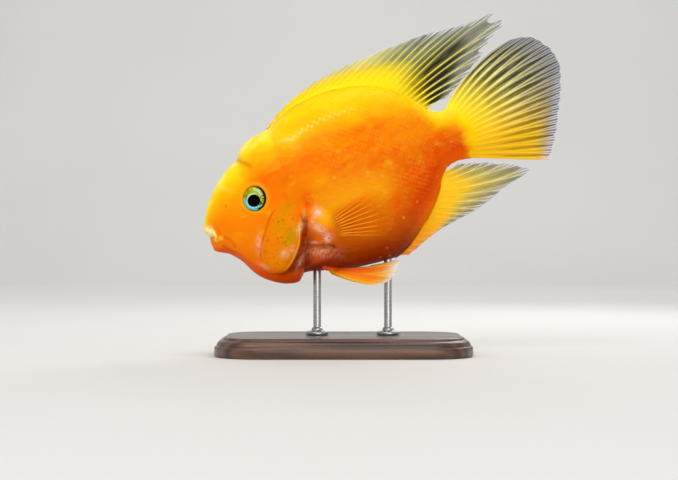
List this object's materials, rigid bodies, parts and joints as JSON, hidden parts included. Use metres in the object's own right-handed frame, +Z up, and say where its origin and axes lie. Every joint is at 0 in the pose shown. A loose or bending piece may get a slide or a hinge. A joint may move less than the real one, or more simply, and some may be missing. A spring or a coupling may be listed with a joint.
{
  "type": "blood parrot cichlid model",
  "caption": "Deep-bodied orange cichlid with a humped nape, beaked mouth and long yellow fins, swimming head down on a wooden stand with steel rods.",
  "frame": {"origin": "on the underside of the stand's base, at the middle of the whole model's box as seen from above", "axes": "+Z up, -X towards the fish's snout, -Y towards its left side; the fish swims along -X with its head about 20 degrees down"},
  "size_m": [0.1858, 0.078, 0.1775],
  "materials": {
    "head": "gloss",
    "trunk": "gloss",
    "tail_stem": "gloss",
    "gill_cover": "gloss",
    "eye": "high gloss",
    "fin": "satin",
    "pectoral_fin": "satin",
    "pelvic_fin": "satin",
    "stand_base": "satin, dark stained",
    "stand_rod": "brushed"
  },
  "bodies": {
    "root": {"head": "head", "trunk": "trunk", "tail_stem": "tail_stem", "gill_cover_left": "gill_cover", "gill_cover_right": "gill_cover", "eye_left": "eye", "eye_right": "eye", "dorsal_fin": "fin", "anal_fin": "fin", "tail_fin": "fin", "pectoral_fin_left": "pectoral_fin", "pectoral_fin_right": "pectoral_fin", "pelvic_fin_left": "pelvic_fin", "pelvic_fin_right": "pelvic_fin", "stand_base": "stand_base", "stand_rod_front": "stand_rod", "stand_rod_rear": "stand_rod"}
  },
  "joints": []
}
